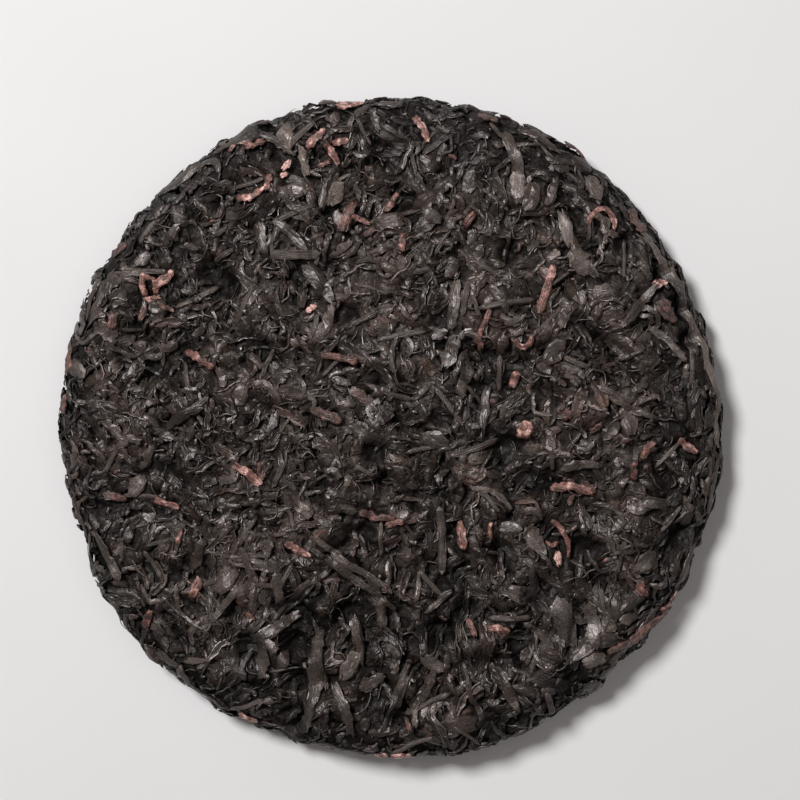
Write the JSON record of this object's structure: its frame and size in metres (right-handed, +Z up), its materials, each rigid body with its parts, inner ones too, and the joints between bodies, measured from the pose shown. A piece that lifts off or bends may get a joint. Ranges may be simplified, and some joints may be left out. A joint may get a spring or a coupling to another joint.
{
  "type": "ripe pu-erh tea cake",
  "caption": "Round domed cake of dark fermented tea leaf, pressed with twisted leaves, flakes and red-brown buds, flat underneath with a shallow dimple.",
  "frame": {"origin": "under the middle of the cake, on the surface that it lies on", "axes": "+Z up through the cake out of its domed face, +Y towards the rim that is uppermost in the picture, +X to the picture's right"},
  "size_m": [0.2006, 0.199, 0.0251],
  "materials": {
    "dark_leaf": "dull dry leaf, faint sheen on the edges",
    "red_bud": "dull dry bud, finely ribbed"
  },
  "bodies": {
    "root": {"tea_cake": "dark_leaf"}
  },
  "joints": []
}
